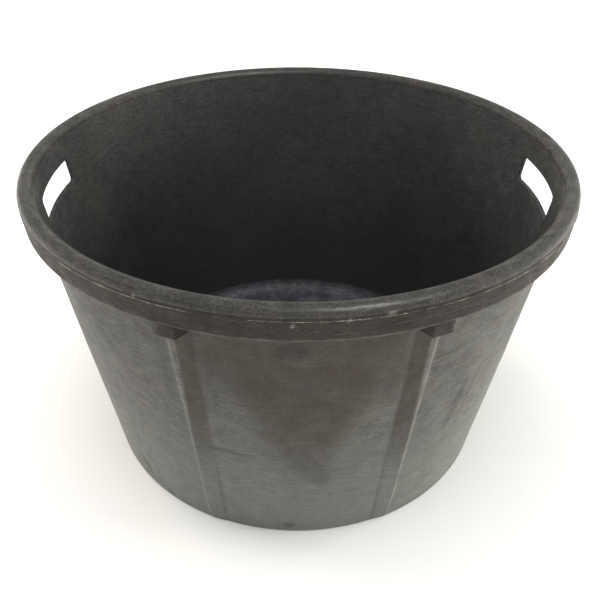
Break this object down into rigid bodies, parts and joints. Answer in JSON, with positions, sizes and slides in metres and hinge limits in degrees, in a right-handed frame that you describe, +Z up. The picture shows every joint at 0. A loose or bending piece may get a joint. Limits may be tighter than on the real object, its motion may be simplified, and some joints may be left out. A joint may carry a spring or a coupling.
{
  "type": "mortar mixing tub",
  "caption": "Round black mortar mixing tub with a leaning ribbed wall, a rolled rim with a hanging skirt, stacking lugs and a hand hole at each side.",
  "frame": {"origin": "centre of the underside, on the plane that the tub stands on", "axes": "+Z up through the open top; the hand holes lie along X; the front panel faces -Y"},
  "size_m": [0.6708, 0.6692, 0.3955],
  "materials": {
    "weathered_wall": "black moulded plastic weathered to a dusty grey, fine scuffs",
    "stained_wall": "weathered black plastic with a dry brown film of mortar and earth",
    "inside": "worn dark charcoal, slightly polished by use",
    "rim": "smooth dark satin, rubbed by hands",
    "skirt": "dark satin with a brown film",
    "seam": "raw scuffed flash line"
  },
  "bodies": {
    "root": {"floor_plate": "inside", "heel_fillet": "inside", "front_panel": "stained_wall", "back_panel": "stained_wall", "left_side_panel": "weathered_wall", "right_side_panel": "weathered_wall", "front_left_rib": "weathered_wall", "front_right_rib": "weathered_wall", "back_left_rib": "weathered_wall", "back_right_rib": "weathered_wall", "front_left_stacking_lug": "rim", "front_right_stacking_lug": "rim", "back_left_stacking_lug": "rim", "back_right_stacking_lug": "rim", "rim_crown": "rim", "rim_skirt": "skirt", "seam_line": "seam", "left_grip_pad": "skirt", "right_grip_pad": "skirt"}
  },
  "joints": []
}
